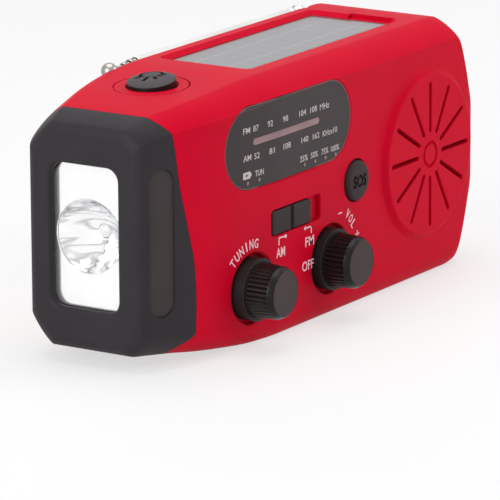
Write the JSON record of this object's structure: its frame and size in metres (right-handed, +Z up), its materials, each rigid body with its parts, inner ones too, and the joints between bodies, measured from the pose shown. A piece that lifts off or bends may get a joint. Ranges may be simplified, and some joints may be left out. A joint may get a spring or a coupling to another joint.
{
  "type": "hand-crank emergency radio",
  "caption": "Hand-crank emergency radio with a solar panel, a torch at one end, a speaker, a folding crank and a telescopic aerial.",
  "frame": {"origin": "middle of the flat base, at the case's mid length and mid depth", "axes": "+X along the case to the speaker end, +Y to the crank at the back, +Z up from the base to the solar panel"},
  "size_m": [0.1324, 0.085, 0.0603],
  "materials": {
    "case_red": "satin soft-touch plastic",
    "rubber_black": "matte rubber",
    "plastic_black": "satin plastic",
    "dial_brown": "smooth printed plastic",
    "clear": "clear plastic",
    "reflector_chrome": "bright metallised plastic",
    "aerial_chrome": "bright chrome tube",
    "steel": "plain steel",
    "solar_glass": "laminated dark cells",
    "board_green": "circuit board",
    "white_plastic": "moulded plastic",
    "ferrite": "dark ceramic",
    "copper": "enamelled wire",
    "cone_paper": "black paper",
    "cell_blue": "shrink sleeve",
    "needle_orange": "moulded plastic"
  },
  "bodies": {
    "case": {"front_shell": "case_red", "rear_shell": "case_red", "bumper": "rubber_black", "torch_housing": "plastic_black", "torch_lens": "clear", "reflector": "reflector_chrome", "led": "clear", "led_board": "board_green", "dial_panel": "dial_brown", "dial_window": "clear", "pointer_rail": "steel", "tuning_capacitor": "white_plastic", "volume_pot": "white_plastic", "band_switch": "steel", "sos_switch": "steel", "power_switch": "steel", "button_board": "board_green", "main_pcb": "board_green", "speaker_basket": "steel", "speaker_cone": "cone_paper", "speaker_magnet": "ferrite", "battery": "cell_blue", "solar_frame": "plastic_black", "solar_panel": "solar_glass", "usb_socket": "steel", "charge_socket": "steel", "jack_socket": "plastic_black", "port_board": "board_green", "ferrite_rod": "ferrite", "ferrite_coil": "copper", "idler_axle": "steel", "generator_body": "steel", "gear_plate": "steel", "case_screw_1": "steel", "case_screw_2": "steel", "case_screw_3": "steel", "case_screw_4": "steel"},
    "crank": {"crank_hub": "plastic_black", "crank_hinge_pin": "steel", "crank_shaft": "steel", "crank_gear": "white_plastic"},
    "arm": {"crank_arm": "plastic_black", "knob_pin": "steel"},
    "grip": {"crank_knob": "plastic_black"},
    "idler": {"idler_gear": "white_plastic"},
    "rotor": {"generator_rotor": "steel"},
    "aerial_swivel_base": {"aerial_base": "aerial_chrome"},
    "aerial_first": {"aerial_root": "aerial_chrome", "aerial_tube_1": "aerial_chrome"},
    "aerial_second": {"aerial_tube_2": "aerial_chrome"},
    "aerial_third": {"aerial_tube_3": "aerial_chrome"},
    "aerial_fourth": {"aerial_tube_4": "aerial_chrome"},
    "tuning": {"tuning_knob": "plastic_black", "tuning_shaft": "steel"},
    "needle": {"dial_pointer": "needle_orange"},
    "volume": {"volume_knob": "plastic_black", "volume_shaft": "steel"},
    "band": {"band_slider": "plastic_black"},
    "sos": {"sos_button": "plastic_black"},
    "power": {"power_button": "rubber_black"}
  },
  "joints": [
    {"name": "crank_spin", "type": "hinge", "parent": "case", "child": "crank", "pos_m": [-0.0145, 0.0185, 0.019], "axis": [0, 1, 0], "continuous": true},
    {"name": "crank_fold", "type": "hinge", "parent": "crank", "child": "arm", "pos_m": [-0.0095, 0.024, 0.019], "axis": [0, 0, 1], "range_deg": [-28, 152]},
    {"name": "knob_fold", "type": "hinge", "parent": "arm", "child": "grip", "pos_m": [0.05028, 0.05216, 0.019], "axis": [0, 0, 1], "range_deg": [0, 90]},
    {"name": "idler_spin", "type": "hinge", "parent": "case", "child": "idler", "pos_m": [0.00047, 0.013, 0.02663], "axis": [0, 1, 0], "continuous": true},
    {"name": "rotor_spin", "type": "hinge", "parent": "case", "child": "rotor", "pos_m": [0.01544, 0.0005, 0.02399], "axis": [0, 1, 0], "continuous": true},
    {"name": "aerial_swivel", "type": "hinge", "parent": "case", "child": "aerial_swivel_base", "pos_m": [0.05015, 0.0172, 0.058], "axis": [0, 0, -1], "range_deg": [0, 100]},
    {"name": "aerial_tilt", "type": "hinge", "parent": "aerial_swivel_base", "child": "aerial_first", "pos_m": [0.05015, 0.0172, 0.058], "axis": [0, 1, 0], "range_deg": [0, 120]},
    {"name": "aerial_slide_2", "type": "slide", "parent": "aerial_first", "child": "aerial_second", "axis": [-1, 0, 0], "range_m": [0, 0.06]},
    {"name": "aerial_slide_3", "type": "slide", "parent": "aerial_second", "child": "aerial_third", "axis": [-1, 0, 0], "range_m": [0, 0.06]},
    {"name": "aerial_slide_4", "type": "slide", "parent": "aerial_third", "child": "aerial_fourth", "axis": [-1, 0, 0], "range_m": [0, 0.06]},
    {"name": "tuning_turn", "type": "hinge", "parent": "case", "child": "tuning", "pos_m": [-0.0327, -0.0084, 0.0134], "axis": [0, 1, 0], "range_deg": [-150, 150]},
    {"name": "pointer_slide", "type": "slide", "parent": "case", "child": "needle", "axis": [1, 0, 0], "range_m": [-0.0129, 0.0129]},
    {"name": "volume_turn", "type": "hinge", "parent": "case", "child": "volume", "pos_m": [-0.0004, -0.0097, 0.0134], "axis": [0, 1, 0], "range_deg": [0, 300]},
    {"name": "band_slide", "type": "slide", "parent": "case", "child": "band", "axis": [1, 0, 0], "range_m": [0, 0.004]},
    {"name": "sos_press", "type": "slide", "parent": "case", "child": "sos", "axis": [0, 1, 0], "range_m": [0, 0.0006], "stiffness_N_per_m": 400, "springref_m": -0.001},
    {"name": "power_press", "type": "slide", "parent": "case", "child": "power", "axis": [0, 0, -1], "range_m": [0, 0.0006], "stiffness_N_per_m": 400, "springref_m": -0.001}
  ],
  "couplings": [
    {"joint": "idler_spin", "follows": "crank_spin", "ratio": -2.5},
    {"joint": "rotor_spin", "follows": "crank_spin", "ratio": 7},
    {"joint": "pointer_slide", "follows": "tuning_turn", "m_per_rad": 0.0049}
  ]
}
